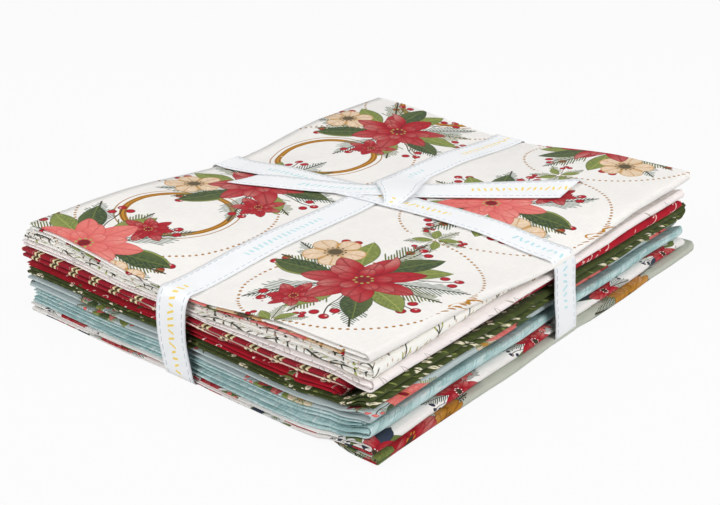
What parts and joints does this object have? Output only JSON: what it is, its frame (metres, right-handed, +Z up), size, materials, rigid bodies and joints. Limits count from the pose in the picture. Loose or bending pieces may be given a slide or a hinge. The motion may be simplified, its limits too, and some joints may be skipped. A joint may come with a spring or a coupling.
{
  "type": "one-yard fabric bundle",
  "caption": "Bundle of flat-folded one-yard cuts of printed cotton, stacked and tied both ways with a satin ribbon, its knot and two free ends on top.",
  "frame": {"origin": "on the surface, under the middle of the bundle", "axes": "+Y along the bundle's longer side, with the front at -Y; +Z up, through the stack"},
  "size_m": [0.236, 0.2952, 0.0511],
  "materials": {
    "sage_cotton": "plain weave cotton, sage grey with a crimson, dark green and gold print",
    "white_bloom_cotton": "plain weave cotton, white with a large red, green and navy print",
    "aqua_cotton": "plain weave cotton, pale aqua with a mottled crosshatch print",
    "grey_blue_cotton": "plain weave cotton, pale grey-blue with a floral print",
    "olive_cotton": "plain weave cotton, dark olive with a cream sprig print",
    "red_cotton": "plain weave cotton, crimson with fine pale curls",
    "plaid_cotton": "plain weave cotton, crimson plaid with cream, pink and dark green lines",
    "cream_cotton": "plain weave cotton, cream on white",
    "fine_stem_cotton": "plain weave cotton, white with thin dark stems",
    "main_floral_cotton": "plain weave cotton, white with a large floral print",
    "satin_ribbon": "woven satin, white, with stitched edges"
  },
  "bodies": {
    "root": {"cut_sage_floral": "sage_cotton", "cut_white_bloom": "white_bloom_cotton", "cut_aqua_lower": "aqua_cotton", "cut_aqua_upper": "aqua_cotton", "cut_grey_blue_floral": "grey_blue_cotton", "cut_olive_sprig": "olive_cotton", "cut_red_curl": "red_cotton", "cut_plaid": "plaid_cotton", "cut_cream_tonal": "cream_cotton", "cut_fine_stem": "fine_stem_cotton", "cut_main_floral": "main_floral_cotton", "ribbon_tie": "satin_ribbon"}
  },
  "joints": []
}
